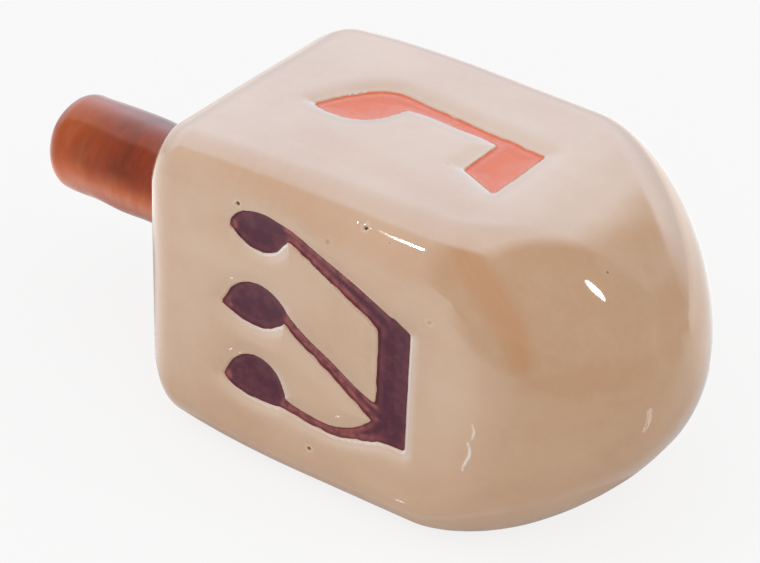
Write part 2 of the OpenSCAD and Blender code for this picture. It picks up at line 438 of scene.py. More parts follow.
# Spots from knot to knot, how high it stands, its middle, and size, least, gain and seed of its breaks
RUN_SPOTS = 10
RUN_HEIGHT = 0.12
RUN_MIDDLE = 76.6
RUN_BREAKS = 0.9
RUN_LEAST = 0.4
RUN_GAIN = 1.1
RUN_SEED = 12

# Uneven thickness of the clear glaze: depth, size and seed of its lumps and of its fine waves
LUMP_DEPTH = 0.22
GLAZE_WAVES = [(LUMP_DEPTH, 15, 3), (0.035, 3.4, 4)]


def glaze_depth(points):
    return sum(depth * value_noise(points, size, seed) for depth, size, seed in GLAZE_WAVES)


def graded(low, high, spots):
    """Places from low to high, about STEP apart and closer together near the spots."""
    samples = 4000
    dense = np.linspace(low, high, samples)
    rate = np.full(dense.shape, 1 / STEP)
    for spot in spots:
        near = np.exp(-((dense - spot) / FINE_REACH) ** 4)
        rate = np.maximum(rate, near / FINE_STEP)
    total = np.concatenate([[0], np.cumsum((rate[1:] + rate[:-1]) / 2 * np.diff(dense))])
    count = int(total[-1])
    return np.interp(np.linspace(0, total[-1], count + 1), total, dense)


def column_shares():
    """Where the columns stand: shares of the way from each side's middle to the next."""
    shares = []
    middle_x = 45
    half, edge = section(middle_x)
    length = 2 * (half - edge) + edge * math.pi / 2
    for side, following in zip(SIDE_NAMES, SIDE_NAMES[1:] + SIDE_NAMES[:1]):
        spots = []
        for _, pit_side, x, across, _ in pit_places():
            half_there, edge_there = section(x)
            flat = half_there - edge_there
            whole = 2 * flat + edge_there * math.pi / 2
            arc = edge_there * math.asin(min(1, max(0, abs(across) - flat) / edge_there))
            run = min(abs(across), flat) + arc
            if pit_side == side and across < 0:
                spots.append(run / whole * length)
            if pit_side == following and across > 0:
                spots.append((1 - run / whole) * length)
        shares.append(graded(0, length, spots)[:-1] / length)
    return shares


def ring(x, half, edge, shares):
    """Points round a square section with rounded corners."""
    edge = min(edge, half)
    flat = half - edge
    length = 2 * flat + edge * math.pi / 2
    points = []
    for (outward, growing), side_shares in zip(SIDES.values(), shares):
        run = side_shares * length
        angle = np.clip((run - flat) / edge, 0, math.pi / 2)[:, None]
        first = np.minimum(run, flat)[:, None]
        last = np.maximum(run - flat - edge * math.pi / 2, 0)[:, None]
        out = flat + edge * np.cos(angle) - last
        points.append(outward * out + growing * (first + edge * np.sin(angle)))
    across = np.concatenate(points)
    return np.column_stack([np.full(len(across), x + END_X), across[:, 0], across[:, 1] + AXIS_Z])


def add_object(name, data):
    piece = bpy.data.objects.new(name, data)
    bpy.context.scene.collection.objects.link(piece)
    return piece


def make_mesh(name, points, faces, attributes=None):
    """A mesh object at the origin, from millimetres, smooth shaded."""
    mesh = bpy.data.meshes.new(name)
    mesh.from_pydata((np.asarray(points) * MM).tolist(), [], [list(map(int, f)) for f in faces])
    mesh.polygons.foreach_set("use_smooth", [True] * len(mesh.polygons))
    for key, values in (attributes or {}).items():
        layer = mesh.attributes.new(key, "FLOAT", "POINT")
        layer.data.foreach_set("value", np.asarray(values, np.float32))
    mesh.validate()
    mesh.update()
    return add_object(name, mesh)


def grid_faces(rows, columns):
    """Faces between closed rings that follow each other, with the outside on the right of growing rows."""
    r, c = np.meshgrid(np.arange(rows - 1), np.arange(columns), indexing="ij")
    a = r * columns + c
    b = r * columns + (c + 1) % columns
    return np.stack([a, a + columns, b + columns, b], -1).reshape(-1, 4).tolist()


def fan_faces(tip, start, columns, outward):
    """Triangles from a tip to a closed ring."""
    ends = [(start + c, start + (c + 1) % columns) for c in range(columns)]
    return [[tip, a, b] if outward else [tip, b, a] for a, b in ends]


def grid_normals(points):
    """Outward normals of closed rings that follow each other."""
    tiny = 1e-9
    down = np.gradient(points, axis=0)
    around = np.roll(points, -1, 1) - np.roll(points, 1, 1)
    normal = np.cross(down, around)
    return normal / np.maximum(np.linalg.norm(normal, axis=-1, keepdims=True), tiny)


def skin_lengths():
    """Lengths of the rings of the outer skin, from the nose to the flat handle end."""
    fine_lengths = [RUN_MIDDLE] + [x for _, _, x, _, _ in pit_places()]
    ridge_angle = math.degrees(math.asin((RIDGE_END - FACE_L) / NOSE_L))
    nose_angles = np.radians(np.linspace(NOSE_TOP_ANGLE, ridge_angle, NOSE_STEPS, endpoint=False))
    end_angles = np.radians(np.linspace(90, 0, END_STEPS + 1))[1:]
    return np.concatenate([
        FACE_L + NOSE_L * np.sin(nose_angles),
        graded(END_R, RIDGE_END, fine_lengths)[::-1],
        END_R * (1 - np.cos(end_angles))])


def carve_marks(skin, normal, depth):
    """Moves the skin onto the marks' rims, adds their depth, and gives shares of recess and of painted lip
    highlight.
    """
    least_facing = 0.5
    facing_blend = 0.3
    reach = 0.2
    recess = np.zeros(depth.shape)
    lip = np.zeros(depth.shape)
    for side in SIDE_NAMES:
        x, across, _ = side_coordinates(skin, side)
        facing = normal[..., 1:] @ SIDES[side][0]
        near = (facing > least_facing) & (x > MARK_START) & (x < MARK_END) & (np.abs(across) < MARK_SPREAD)
        shift_x, shift_across = rim_shift(x[near], across[near], side)
        skin[near] += side_point(shift_x, shift_across, 0, side) - side_point(0, 0, 0, side)
        distance = mark_distance(x[near] + shift_x, across[near] + shift_across, side)
        weight = smooth((facing[near] - least_facing) / facing_blend)
        pocket = POCKET_DEPTH * np.clip(-distance / POCKET_W, 0, 1)
        depth[near] += (carve_depth(distance) + pocket) * weight
        recess[near] = np.maximum(recess[near], (1 - smooth(distance / CARVE_REACH)) * weight)
        towards_x, towards_across = (reach * part for part in LIP_HIGHLIGHT_FROM[side])
        further = mark_distance(x[near] + towards_x, across[near] + towards_across, side)
        towards_share = np.clip((further - distance) / reach, 0, 1)
        sharp = np.exp(-((distance - LIP_HIGHLIGHT_AT) / LIP_HIGHLIGHT_W) ** 2)
        broad = LIP_BROAD_HIGHLIGHT * np.exp(-((distance - LIP_BROAD_HIGHLIGHT_AT) / LIP_BROAD_HIGHLIGHT_W) ** 2) * (distance > 0)
        lip[near] = towards_share * np.maximum(sharp, broad) * weight
    return recess, lip


def sink_pits(skin, depth):
    """Adds the pits and their rings to the depth, and gives the shares of dark pit and of pale ring."""
    pit = np.zeros(depth.shape)
    halo = np.zeros(depth.shape)
    for place, _, _, _, (pit_depth, radius, ring_height, darkness) in pit_places():
        away = np.linalg.norm(skin - place, axis=-1)
        ring_share = np.exp(-((away - RING_R) / RING_W) ** 2)
        depth += pit_depth * np.exp(-(away / radius) ** 4) + ring_height * np.exp(-(away / DISH_R) ** 4)
        depth -= ring_height * ring_share
        pit = np.maximum(pit, darkness * np.exp(-(away / (radius * PIT_DARK_REACH)) ** 4))
        halo = np.maximum(halo, ring_share * ring_height / FULL_RING)
    return pit, halo


def raise_runs(skin, normal, depth):
    """Takes the thin runs of glaze from the depth, and gives their share, which gets a painted highlight.
    """
    run = np.zeros(depth.shape)
    for knots in GLAZE_RUNS:
        for x, height, half_width in along(knots, RUN_SPOTS):
            away = np.hypot(skin[..., 0] - x - END_X, skin[..., 2] - height)
            run = np.maximum(run, np.exp(-(away / half_width) ** 2) * (normal[..., 1] < 0))
    run *= smooth(RUN_LEAST + RUN_GAIN * value_noise(skin, RUN_BREAKS, RUN_SEED))
    depth -= RUN_HEIGHT * run
    return run


def brush_share(skin, normal):
    """Share of the peach brush marks at each point, with the lines that the brush's hairs leave."""
    blush = np.zeros(skin.shape[:2])
    for strength, softness, knots in BRUSH_MARKS:
        curve = along(knots, BRUSH_SPOTS)
        for here, after in zip(curve[:-1], curve[1:]):
            place = here[:3] + [END_X, 0, 0]
            near = np.linalg.norm(skin - place, axis=-1) < here[3] + softness
            offset = skin[near] - place
            forward = (after - here)[:3] / np.linalg.norm((after - here)[:3])
            beside = (offset * np.cross(normal[near], forward)).sum(-1)
            away = np.linalg.norm(offset, axis=-1)
            spots = [beside / BRUSH_HAIR, skin[near, 0] / BRUSH_HAIR_L, skin[near, 2] / BRUSH_HAIR_L]
            hair = 1 - BRUSH_HAIR_DEPTH * value_noise(np.stack(spots, -1), 1, BRUSH_HAIR_SEED)
            share = strength * (1 - smooth((away - here[3]) / softness)) * hair
            blush[near] = np.maximum(blush[near], share)
    return blush


def hidden_rings(last, shares):
    """Rings that follow the skin's last one: the flat end, the pour hole, and the hollow behind it."""
    flat_steps = 9
    hole_steps = 5
    rim = ring(0, POUR_R, POUR_R, shares)
    flat_end = [last + (rim - last) * t for t in np.linspace(0, 1, flat_steps)[1:]]
    hole = [rim + [x, 0, 0] for x in np.linspace(0, WALL, hole_steps)[1:]]
    end_angles = np.radians(np.linspace(0, 90, INNER_STEPS))
    nose_angles = np.radians(np.linspace(0, INNER_TOP_ANGLE, INNER_STEPS + 1)[1:])
    inner_x = np.concatenate([
        WALL + (END_R - WALL) * (1 - np.cos(end_angles)),
        np.linspace(END_R, FACE_L, INNER_STEPS + 1)[1:],
        FACE_L + (NOSE_L - WALL) * np.sin(nose_angles)])
    hollow = [ring(x, *map(float, section(x, WALL)), shares) for x in inner_x]
    shelf = [hole[-1] + (hollow[0] - hole[-1]) * t for t in (0.3, 0.65)]
    return np.stack(flat_end + hole + shelf + hollow)


def make_body():
    shares = column_shares()
    skin = np.stack([ring(x, *map(float, section(x)), shares) for x in skin_lengths()])
    normal = grid_normals(skin)
    depth = glaze_depth(skin)
    recess, lip = carve_marks(skin, normal, depth)
    pit, halo = sink_pits(skin, depth)
    # The glaze runs take the lips' painted highlight
    lip = np.maximum(lip, raise_runs(skin, normal, depth))
    skin = skin - normal * np.maximum(depth, 0)[..., None]
    blush = brush_share(skin, normal)
    rows = np.concatenate([skin, hidden_rings(skin[-1], shares)])
    count, columns = rows.shape[:2]
    tip = [END_X + BODY_L - LUMP_DEPTH / 2, 0, AXIS_Z]
    inner_tip = [END_X + BODY_L - WALL, 0, AXIS_Z]
    points = np.concatenate([rows.reshape(-1, 3), [tip, inner_tip]])
    faces = grid_faces(count, columns)
    faces += fan_faces(count * columns, 0, columns, True)
    faces += fan_faces(count * columns + 1, (count - 1) * columns, columns, False)
    pad = len(points) - recess.size
    attributes = {"recess": recess, "lip": lip, "pit": pit, "halo": halo, "blush": blush}
    attributes = {key: np.pad(values.ravel(), (0, pad)) for key, values in attributes.items()}
    return make_mesh("glazed_body", points, faces, attributes)


def level_mesh(x, across, level):
    """Points and triangles of the part of a grid where the level is under zero, cut at the zero line."""
    rows, columns = x.shape
    nearest = 0.04
    points = list(zip(x.ravel(), across.ravel()))
    level = level.ravel()
    crossings = {}

    def crossing(a, b):
        key = (min(a, b), max(a, b))
        if key not in crossings:
            t = level[key[0]] / (level[key[0]] - level[key[1]])
            t = min(max(t, nearest), 1 - nearest)
            p, q = points[key[0]], points[key[1]]
            crossings[key] = len(points)
            points.append((p[0] + (q[0] - p[0]) * t, p[1] + (q[1] - p[1]) * t))
        return crossings[key]

    triangles = []
    for r in range(rows - 1):
        for c in range(columns - 1):
            here = r * columns + c
            corners = [here, here + columns, here + columns + 1, here + 1]
            if all(level[v] >= 0 for v in corners):
                continue
            for tri in ((corners[0], corners[1], corners[2]), (corners[0], corners[2], corners[3])):
                outline = []
                for a, b in zip(tri, tri[1:] + tri[:1]):
                    if level[a] < 0:
                        outline.append(a)
                    if (level[a] < 0) != (level[b] < 0):
                        outline.append(crossing(a, b))
                for i in range(1, len(outline) - 1):
                    triangles.append((outline[0], outline[i], outline[i + 1]))
    used = sorted({v for tri in triangles for v in tri})
    place = {v: i for i, v in enumerate(used)}
    return np.array([points[v] for v in used]), [[place[v] for v in tri] for tri in triangles]


def rim_level(x, across, side):
    """Distance to a mark, and that distance to the wavering edge of its glaze."""
    distance = mark_distance(x, across, side)
    spots = np.stack([x, across, np.zeros(x.shape)], -1)
    seed = SIDE_NAMES.index(side) + FILL_WAVER_SEED
    return distance, distance + FILL_WAVER * (value_noise(spots, FILL_WAVER_SIZE, seed) - 0.5) * 2


def make_fill(side):
    """The coloured glaze that lies in a side's mark, as a thin closed piece."""
    steps = np.arange(MARK_START, MARK_END, FILL_STEP), np.arange(-MARK_SPREAD, MARK_SPREAD, FILL_STEP)
    x, across = np.meshgrid(*steps, indexing="ij")
    flat, triangles = level_mesh(x, across, rim_level(x, across, side)[1])
    x, across = flat[:, 0], flat[:, 1]
    distance, level = rim_level(x, across, side)
    point, direction = side_surface(x, across, side)
    film = FILL_T * smooth(-level / FILL_ROUND)
    depth = carve_depth(distance) + LEDGE_DEPTH * smooth(-distance / LEDGE_W) + glaze_depth(point)
    upper = point - direction * (depth - film)[:, None]
    lower = point - direction * (depth + FILL_UNDER)[:, None]
    count = len(upper)
    edges = {(a, b) for tri in triangles for a, b in zip(tri, tri[1:] + tri[:1])}
    border = sorted((a, b) for a, b in edges if (b, a) not in edges)
    # A reader's right, the length and the outward direction turn the other way from the grid
    faces = [[a, b, c] for a, b, c in triangles]
    faces += [[c + count, b + count, a + count] for a, b, c in triangles]
    faces += [[b, a, a + count, b + count] for a, b in border]
    stem = 1 - smooth((mark_half_width(x, across, side) - STEM_HALF) / (FULL_HALF - STEM_HALF))
    attributes = {"inside": np.tile(-distance, 2), "stem": np.tile(stem, 2)}
    return make_mesh(side + "_mark", np.concatenate([upper, lower]), faces, attributes)


# The handle, turned on the spin axis, with the soft lumps of hand work
HANDLE_R = 10.3
SHOULDER_R = 10.6
TIP_R = 4
TIP_DOME = 1.2
TENON_R = 7
TENON_L = 13
TENON_BEVEL = 1
BED_T = 0.8
SHOULDER_ROUND = 1.2
HANDLE_COLUMNS = 168
# Steps of its profile: along the domed tip, degrees round the tip's edge, along its length and its tenon
TIP_STEPS = 16
TIP_ANGLE_STEP = 6
HANDLE_STEPS = 90
TENON_STEPS = 4
# Lumps of the part that shows, faded out at the shoulder: depth, size, stretch along the handle and seed
HANDLE_LUMPS = [(0.3, 9, 0.8, 7), (0.06, 2.6, 1, 8), (0.45, 6.5, 1, 9)]
HANDLE_FADE = 4


def handle_profile(tip_x, shoulder_x):
    """Radius and X of the part that shows, and of the tenon."""
    edge_c = HANDLE_R - TIP_R
    edge_x = tip_x + TIP_DOME + TIP_R
    shown = [(edge_c * t, tip_x + TIP_DOME * t ** 2) for t in np.linspace(0, 1, TIP_STEPS)[1:]]
    for a in np.radians(np.arange(TIP_ANGLE_STEP, 91, TIP_ANGLE_STEP)):
        shown.append((edge_c + TIP_R * math.sin(a), edge_x - TIP_R * math.cos(a)))
    for t in np.linspace(0, 1, HANDLE_STEPS)[1:]:
        shown.append((HANDLE_R + (SHOULDER_R - HANDLE_R) * t, edge_x + (shoulder_x - edge_x) * t))
    tenon = [(SHOULDER_R - SHOULDER_ROUND, shoulder_x), (TENON_R, shoulder_x)]
    for t in np.linspace(0, 1, TENON_STEPS + 1)[1:]:
        tenon.append((TENON_R, shoulder_x + (TENON_L - TENON_BEVEL) * t))
    tenon += [(TENON_R - TENON_BEVEL, shoulder_x + TENON_L), (TENON_R / 2, shoulder_x + TENON_L)]
    return shown, tenon


def make_handle():
    tip_x = handle_low[0]
    shoulder_x = END_X - BED_T
    shown, tenon = handle_profile(tip_x, shoulder_x)
    angle = np.linspace(0, 2 * math.pi, HANDLE_COLUMNS, endpoint=False)
    rows = []
    for i, (radius, x) in enumerate(shown + tenon):
        circle = np.column_stack([np.full(len(angle), x), np.cos(angle), np.sin(angle)])
        at = circle * [1, radius, radius]
        fade = smooth((shoulder_x - x) / HANDLE_FADE) if i < len(shown) else 0
        lump = sum(depth * value_noise(at * [stretch, 1, 1], size, seed)
                   for depth, size, stretch, seed in HANDLE_LUMPS)
        lumpy = radius - lump * fade
        rows.append(np.column_stack([circle[:, 0], circle[:, 1] * lumpy, circle[:, 2] * lumpy + AXIS_Z]))
    count = len(rows)
    tip = [tip_x, 0, AXIS_Z]
    end = [shoulder_x + TENON_L, 0, AXIS_Z]
    points = np.concatenate([np.concatenate(rows), [tip, end]])
    # Rows grow towards +X here, so faces turn the other way from the body's
    faces = [f[::-1] for f in grid_faces(count, HANDLE_COLUMNS)]
    faces += fan_faces(count * HANDLE_COLUMNS, 0, HANDLE_COLUMNS, False)
    faces += fan_faces(count * HANDLE_COLUMNS + 1, (count - 1) * HANDLE_COLUMNS, HANDLE_COLUMNS, True)
    return make_mesh("amber_handle", points, faces)


# Material helpers
class Nodes:
    """Short calls for the nodes of one tree. Sizes are in millimetres."""

    def __init__(self, tree, coords):
        self.tree = tree
        self.coords = self.new("TexCoord").outputs[coords]

    def new(self, kind, **inputs):
        """A node, with these of its inputs set or linked."""
        node = self.tree.nodes.new("ShaderNode" + kind)
        for name, value in inputs.items():
            self.set(node.inputs[name], value)
        return node

    def link(self, source, target):
        self.tree.links.new(source, target)

    def set(self, socket, value):
        if isinstance(value, bpy.types.NodeSocket):
            self.link(value, socket)
        else:
            socket.default_value = value

    def noise(self, size, detail=2, roughness=0.5, stretch=(1, 1, 1), warp=0):
        place = self.new("Mapping", Vector=self.coords, Scale=stretch).outputs[0]
        return self.new(
            "TexNoise", Vector=place, Scale=1 / (size * MM), Detail=detail, Roughness=roughness,
            Distortion=warp).outputs["Fac"]

    def attribute(self, name):
        node = self.new("Attribute")
        node.attribute_name = name
        return node.outputs["Fac"]

    def remap(self, value, low, high, to_low=0, to_high=1):
        limits = {"From Min": low, "From Max": high, "To Min": to_low, "To Max": to_high}
        node = self.new("MapRange", Value=value, **limits)
        node.interpolation_type = "SMOOTHSTEP"
        return node.outputs["Result"]

    def split(self, vector):
        return self.new("SeparateXYZ", Vector=vector).outputs

    def math(self, operation, a, b=0):
        node = self.new("Math")
        node.operation = operation
        self.set(node.inputs[0], a)
        self.set(node.inputs[1], b)
        return node.outputs[0]

    def times(self, a, b):
        return self.math("MULTIPLY", a, b)

    def plus(self, a, b):
        return self.math("ADD", a, b)

    def minus(self, a, b):
        return self.math("SUBTRACT", a, b)

    def mix(self, share, a, b):
        """Colour a, and a share of colour b."""
        node = self.new("Mix")
        node.data_type = "RGBA"
        self.set(node.inputs[0], share)
        for socket, colour in zip(node.inputs[6:8], (a, b)):
            self.set(socket, colour if isinstance(colour, bpy.types.NodeSocket) else (*colour, 1))
        return node.outputs[2]

    def blend(self, share, a, b):
        """Shader a, and a share of shader b."""
        node = self.new("MixShader", Fac=share)
        self.link(a, node.inputs[1])
        self.link(b, node.inputs[2])
        return node.outputs[0]

    def glow(self, strength):
        return self.new("Emission", Strength=strength).outputs[0]

    def rays(self):
        """Shares of the rays that a glaze mirrors, and of those that the camera sees."""
        path = self.new("LightPath").outputs
        seen = self.math("MAXIMUM", path["Is Camera Ray"], path["Is Transmission Ray"])
        return path["Is Glossy Ray"], seen


class Surface(Nodes):
    """A new material with its shader and output."""

    def __init__(self, name):
        self.material = bpy.data.materials.new(name)
        self.material.use_nodes = True
        self.material.node_tree.nodes.clear()
        super().__init__(self.material.node_tree, "Object")
        self.shader = self.new("BsdfPrincipled")
        self.output = self.new("OutputMaterial")
        self.show(self.shader.outputs[0])

    def show(self, shader):
        self.link(shader, self.output.inputs["Surface"])

    def adjust(self, inputs):
        for name, value in inputs.items():
            self.set(self.shader.inputs[name], value)

    def finish(self, colour, rough, grain, inputs):
        """The material, from its colour, the size, least and most of its roughness, the noise, strength and
        depth of its fine relief, and other inputs."""
        size, least, most = rough
        *noise, strength, depth = grain
        relief = self.new("Bump", Strength=strength, Distance=depth * MM, Height=self.noise(*noise))
        self.adjust({
            "Base Color": colour,
            "Roughness": self.remap(self.noise(size, 3), 0.3, 0.7, least, most),
            "Normal": relief.outputs[0],
            **inputs})
        return self.material


TAN = (0.635, 0.405, 0.252)
TAN_LIGHT = (0.665, 0.44, 0.285)
TAN_DEEP = (0.605, 0.37, 0.222)
PEACH = (0.6, 0.305, 0.155)
RECESS_TINT = (0.66, 0.47, 0.33)
PIT_DARK = (0.02, 0.015, 0.01)
HALO_PALE = (0.78, 0.66, 0.52)
LIP_HIGHLIGHT = (0.95, 0.9, 0.86)
SPECK = (0.2, 0.1, 0.06)
SPECK_SPACING = 4.5
GLAZE_IOR = 1.6


def body_material():
    n = Surface("clear_glazed_bisque")
    cloud = n.remap(n.noise(24, 3, 0.55), 0.34, 0.68)
    colour = n.mix(cloud, TAN_DEEP, TAN_LIGHT)
    streak = n.remap(n.noise(5, 3, 0.6, stretch=(0.16, 1, 1), warp=0.3), 0.35, 0.75, 0, 0.5)
    colour = n.mix(streak, colour, TAN)
    mottle = n.remap(n.noise(1.5, 4, 0.7), 0.4, 0.75, 0, 0.3)
    colour = n.mix(mottle, colour, TAN_LIGHT)
    colour = n.mix(n.times(n.attribute("blush"), 0.85), colour, PEACH)
    wall = n.times(n.attribute("recess"), n.remap(n.noise(2.5, 2), 0.3, 0.7, 0.1, 0.45))
    colour = n.mix(wall, colour, RECESS_TINT)
    cells = n.new("TexVoronoi", Vector=n.coords, Scale=1 / (SPECK_SPACING * MM)).outputs
    chance, size, _ = n.new("SeparateColor", Color=cells["Color"]).outputs
    chosen = n.math("GREATER_THAN", chance, 0.86)
    dot = n.math("LESS_THAN", cells["Distance"], n.remap(size, 0, 1, 0.02, 0.055))
    speck = n.times(n.times(dot, chosen), 0.75)
    colour = n.mix(speck, colour, SPECK)
    colour = n.mix(n.times(n.attribute("halo"), 0.6), colour, HALO_PALE)
    # Painted highlight along the lips of the marks and on the glaze runs
    colour = n.mix(n.times(n.attribute("lip"), 0.85), colour, LIP_HIGHLIGHT)
    colour = n.mix(n.attribute("pit"), colour, PIT_DARK)
    return n.finish(colour, (3, 0.03, 0.06), (1.1, 2, 0.5, 0.08, 0.04), {"IOR": GLAZE_IOR})


CORAL = (0.84, 0.205, 0.105)
CORAL_RIM = (0.78, 0.165, 0.05)
CORAL_THIN = (0.84, 0.27, 0.195)
PLUM = (0.092, 0.019, 0.04)
PLUM_RIM = (0.115, 0.014, 0.022)
PLUM_THIN = (0.36, 0.105, 0.098)


def mark_material(name, full, rim, thin, thin_edge, gloss, rough):
    n = Surface(name)
    inside = n.attribute("inside")
    patch = n.remap(n.noise(2.6, 4, 0.65), 0.42, 0.72, 0, 0.22)
    colour = n.mix(patch, full, thin)
    stem = n.remap(inside, 0.7, 1.7, 1, 0)
    stem = n.times(stem, n.math("MAXIMUM", n.attribute("stem"), thin_edge))
    stem = n.times(stem, n.remap(n.noise(1.8, 2, 0.5), 0.3, 0.65, 0.3, 1))
    colour = n.mix(stem, colour, thin)
    soft_edge = n.times(n.remap(inside, 0, 0.55, 1, 0), 0.8)
    soft_edge = n.times(soft_edge, n.remap(n.noise(0.9, 3, 0.6), 0.3, 0.6, 0.4, 1))
    colour = n.mix(soft_edge, colour, rim)
    return n.finish(colour, rough, (0.8, 3, 0.6, 0.15, 0.06), {"Specular IOR Level": gloss})


AMBER_DEEP = (0.21, 0.013, 0.001)
AMBER_DARK = (0.13, 0.007, 0.001)
AMBER = (0.56, 0.102, 0.018)
AMBER_THIN = (0.58, 0.165, 0.06)
AMBER_SHINE = (1, 0.4, 0.22)
AMBER_PALE_TIP_MM = (-67, -51)
AMBER_LOW_MM = 30
AMBER_HIGH_MM = 35.5
AMBER_WANDER_MM = 3


def handle_material():
    n = Surface("amber_glaze")
    x, _, z = n.split(n.coords)
    height = n.plus(z, n.times(n.noise(7, 2, 0.5), AMBER_WANDER_MM * MM))
    # Darker on the upper half and lighter on the lower: partly glaze lying deeper above, partly painted
    # shade above and painted bounce light below
    low, high = ((edge + AMBER_WANDER_MM / 2) * MM for edge in (AMBER_LOW_MM, AMBER_HIGH_MM))
    deep_glaze_and_shade = n.remap(height, low, high)
    tip_low, tip_high = (length * MM for length in AMBER_PALE_TIP_MM)
    deep_glaze_and_shade = n.times(deep_glaze_and_shade, n.remap(x, tip_low, tip_high, 0.5, 1))
    band = n.remap(n.noise(3.4, 3, 0.55, stretch=(1, 0.45, 0.45), warp=0.6), 0.4, 0.66, 0, 0.85)
    pale = n.mix(band, AMBER, AMBER_THIN)
    dark = n.mix(n.remap(n.noise(4, 3, 0.5, stretch=(1, 0.4, 0.4)), 0.42, 0.7), AMBER_DEEP, AMBER_DARK)
    colour = n.mix(deep_glaze_and_shade, pale, dark)
    fine = n.remap(n.noise(1.2, 3, 0.6, stretch=(1, 0.35, 0.35)), 0.45, 0.75, 0, 0.07)
    colour = n.mix(fine, colour, AMBER_THIN)
    inputs = {"Specular IOR Level": 0.58, "Specular Tint": (*AMBER_SHINE, 1)}
    return n.finish(colour, (3, 0.05, 0.11), (1.4, 3, 0.6, 0.12, 0.06), inputs)


CEMENT = (0.62, 0.5, 0.38)
CEMENT_DARK = (0.42, 0.31, 0.22)


def cement_material():
    n = Surface("joint_cement")
    grain = n.remap(n.noise(0.9, 4, 0.7), 0.35, 0.7)
    colour = n.mix(grain, CEMENT, CEMENT_DARK)
    return n.finish(colour, (0.5, 0.35, 0.6), (0.5, 4, 0.7, 0.4, 0.15), {})


# The pieces
body = make_body()
body.data.materials.append(body_material())
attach(body, "root")
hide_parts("body")

glazes = {
    "coral_glaze": mark_material("coral_glaze", CORAL, CORAL_RIM, CORAL_THIN, 1, 0.16, (2, 0.22, 0.32)),
    "plum_glaze": mark_material("plum_glaze", PLUM, PLUM_RIM, PLUM_THIN, 0.2, 0.12, (2, 0.06, 0.12))}
mark_glaze = {"top": "coral_glaze", "front": "plum_glaze", "back": "plum_glaze", "bottom": "coral_glaze"}
for side, glaze in mark_glaze.items():
    fill = make_fill(side)
    fill.data.materials.append(glazes[glaze])
    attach(fill, "root")

handle = make_handle()
handle.data.materials.append(handle_material())
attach(handle, "root")
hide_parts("handle")

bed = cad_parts["joint_bed"]
bed.data.materials.clear()
bed.data.materials.append(cement_material())

# Floor, a pale sheet that keeps the object's shadow. The glazes mirror it as a glossy table top with a
# painted pool of light on the left and behind, a glow with painted shadow close under the object. X and Y
# limits are in metres.
FLOOR_HALF = 3
FLOOR_TINT = (0.86, 0.86, 0.86)
FLOOR_ROUGH = 0.9
FLOOR_SPECULAR = 0.1
FLOOR_WHITE_SHARE = 0.82
FLOOR_GLOW = 1.6
FLOOR_GLOW_X = (0.03, 0.14)
FLOOR_GLOW_LEAN = 0.8
FLOOR_FRONT_LEAN = 0.56
FLOOR_FRONT_Y = (-0.05, -0.14)
FLOOR_BACK_Y = (0, 0.06)
FLOOR_BACK_SHARE = 0.6
FLOOR_FAR_Y = (0.08, 0.35)
FLOOR_FAR_GAIN = 1.7
FLOOR_LEFT_X = (-0.09, -0.03)
FLOOR_LEFT_SHARE = 0.8
# Painted shadow in the pool, close under the object: middle, half size, reach and share
FLOOR_SHADES = [
    ((0.03, 0), (0.035, 0.02), 0.075, 0.2),
    ((-0.055, 0.01), (0.015, 0.01), 0.028, 0.15)]
FLOOR_MATT_SHARE = 0.3
FLOOR_GLOSS = 0.08
FLOOR_GLOSS_ROUGH = 0.03


def pool_strength(n):
    """Strength of the painted glow of light that the glazes see in the floor."""
    x, y, _ = n.split(n.coords)
    behind = n.times(n.math("MAXIMUM", y, 0), -FLOOR_GLOW_LEAN)
    near_y, far_y = FLOOR_FRONT_Y
    before = n.minus(near_y, n.math("MAXIMUM", y, far_y))
    before = n.times(n.math("MAXIMUM", before, 0), FLOOR_FRONT_LEAN)
    slid = n.plus(x, n.plus(behind, before))
    pool = n.remap(slid, *FLOOR_GLOW_X, FLOOR_GLOW, 0)
    pool = n.times(pool, n.remap(y, *FLOOR_BACK_Y, 1, FLOOR_BACK_SHARE))
    pool = n.times(pool, n.remap(y, *FLOOR_FAR_Y, 1, FLOOR_FAR_GAIN))
    left_back = n.times(n.remap(y, *FLOOR_BACK_Y), n.remap(x, *FLOOR_LEFT_X, 1, 0))
    pool = n.times(pool, n.remap(left_back, 0, 1, 1, FLOOR_LEFT_SHARE))
    for middle, half, reach, share in FLOOR_SHADES:
        squares = []
        for value, at, size in zip((x, y), middle, half):
            offset = n.math("ABSOLUTE", n.minus(value, at))
            beside = n.math("MAXIMUM", n.minus(offset, size), 0)
            squares.append(n.times(beside, beside))
        away = n.math("SQRT", n.plus(*squares))
        pool = n.times(pool, n.remap(away, 0, reach, share, 1))
    return pool


def make_floor():
    mesh = bpy.data.meshes.new("floor")
    h = FLOOR_HALF
    mesh.from_pydata([(-h, -h, 0), (h, -h, 0), (h, h, 0), (-h, h, 0)], [], [(0, 1, 2, 3)])
    floor = add_object("floor", mesh)
    n = Surface("floor_pale")
    n.adjust({
        "Base Color": (*FLOOR_TINT, 1),
        "Roughness": FLOOR_ROUGH,
        "Specular IOR Level": FLOOR_SPECULAR})
    glossy, seen = n.rays()
    matt = n.shader.outputs["BSDF"]
    plain = n.blend(n.times(seen, FLOOR_WHITE_SHARE), matt, n.glow(1))
    mirror = n.new("BsdfGlossy", Roughness=FLOOR_GLOSS_ROUGH)
    bright = n.new("AddShader")
    n.link(n.blend(FLOOR_MATT_SHARE, n.glow(0), matt), bright.inputs[0])
    n.link(n.glow(pool_strength(n)), bright.inputs[1])
    mirrored = n.blend(FLOOR_GLOSS, bright.outputs[0], mirror.outputs[0])
    n.show(n.blend(glossy, plain, mirrored))
    mesh.materials.append(n.material)
    floor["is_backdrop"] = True


make_floor()

# Light: an even surround that is a little brighter from the upper front, a large cool window behind that
# only the glazes mirror, and a small lamp on each side
AMBIENT = 0.47
AMBIENT_RISE = 0.5
RISE_FROM = (0, 48)
